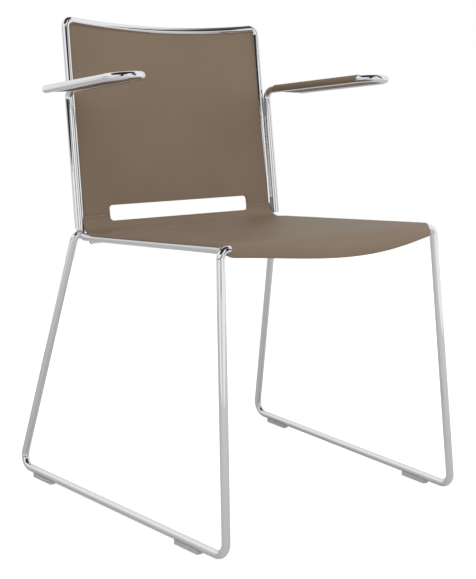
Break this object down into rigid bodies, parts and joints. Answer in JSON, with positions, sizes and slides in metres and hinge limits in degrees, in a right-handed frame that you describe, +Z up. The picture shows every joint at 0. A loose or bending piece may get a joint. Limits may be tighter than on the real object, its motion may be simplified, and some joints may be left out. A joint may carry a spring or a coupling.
{
  "type": "stacking armchair",
  "caption": "Stacking armchair with a bent and chromed round steel rod frame on sled runners, a thin moulded plastic seat and back with a lumbar slot, and looped arms with plastic pads.",
  "frame": {"origin": "on the floor, under the middle of the chair's box", "axes": "+Z up, -Y towards the front of the chair, +X towards the right-hand side of someone who looks at the chair's front"},
  "size_m": [0.5836, 0.5678, 0.7956],
  "materials": {
    "chromed_steel": "polished chrome plating on round steel rod",
    "moulded_plastic": "fine matt moulded polypropylene, warm grey-brown",
    "glide_plastic": "pale translucent plastic",
    "zinc_plated_steel": "zinc plated"
  },
  "bodies": {
    "root": {"arm_pad_left": "moulded_plastic", "arm_pad_right": "moulded_plastic", "arm_rod_left": "chromed_steel", "arm_rod_right": "chromed_steel", "back_frame": "chromed_steel", "back_panel": "moulded_plastic", "back_screw_lower_left": "zinc_plated_steel", "back_screw_lower_right": "zinc_plated_steel", "back_screw_upper_left": "zinc_plated_steel", "back_screw_upper_right": "zinc_plated_steel", "back_tab_lower_left": "zinc_plated_steel", "back_tab_lower_right": "zinc_plated_steel", "back_tab_upper_left": "zinc_plated_steel", "back_tab_upper_right": "zinc_plated_steel", "glide_front_left": "glide_plastic", "glide_front_right": "glide_plastic", "glide_rear_left": "glide_plastic", "glide_rear_right": "glide_plastic", "rear_cross_rod": "chromed_steel", "seat_screw_front_left": "zinc_plated_steel", "seat_screw_front_right": "zinc_plated_steel", "seat_screw_rear_left": "zinc_plated_steel", "seat_screw_rear_right": "zinc_plated_steel", "seat_shell": "moulded_plastic", "seat_tab_front_left": "zinc_plated_steel", "seat_tab_front_right": "zinc_plated_steel", "seat_tab_rear_left": "zinc_plated_steel", "seat_tab_rear_right": "zinc_plated_steel", "side_frame_left": "chromed_steel", "side_frame_right": "chromed_steel"}
  },
  "joints": []
}
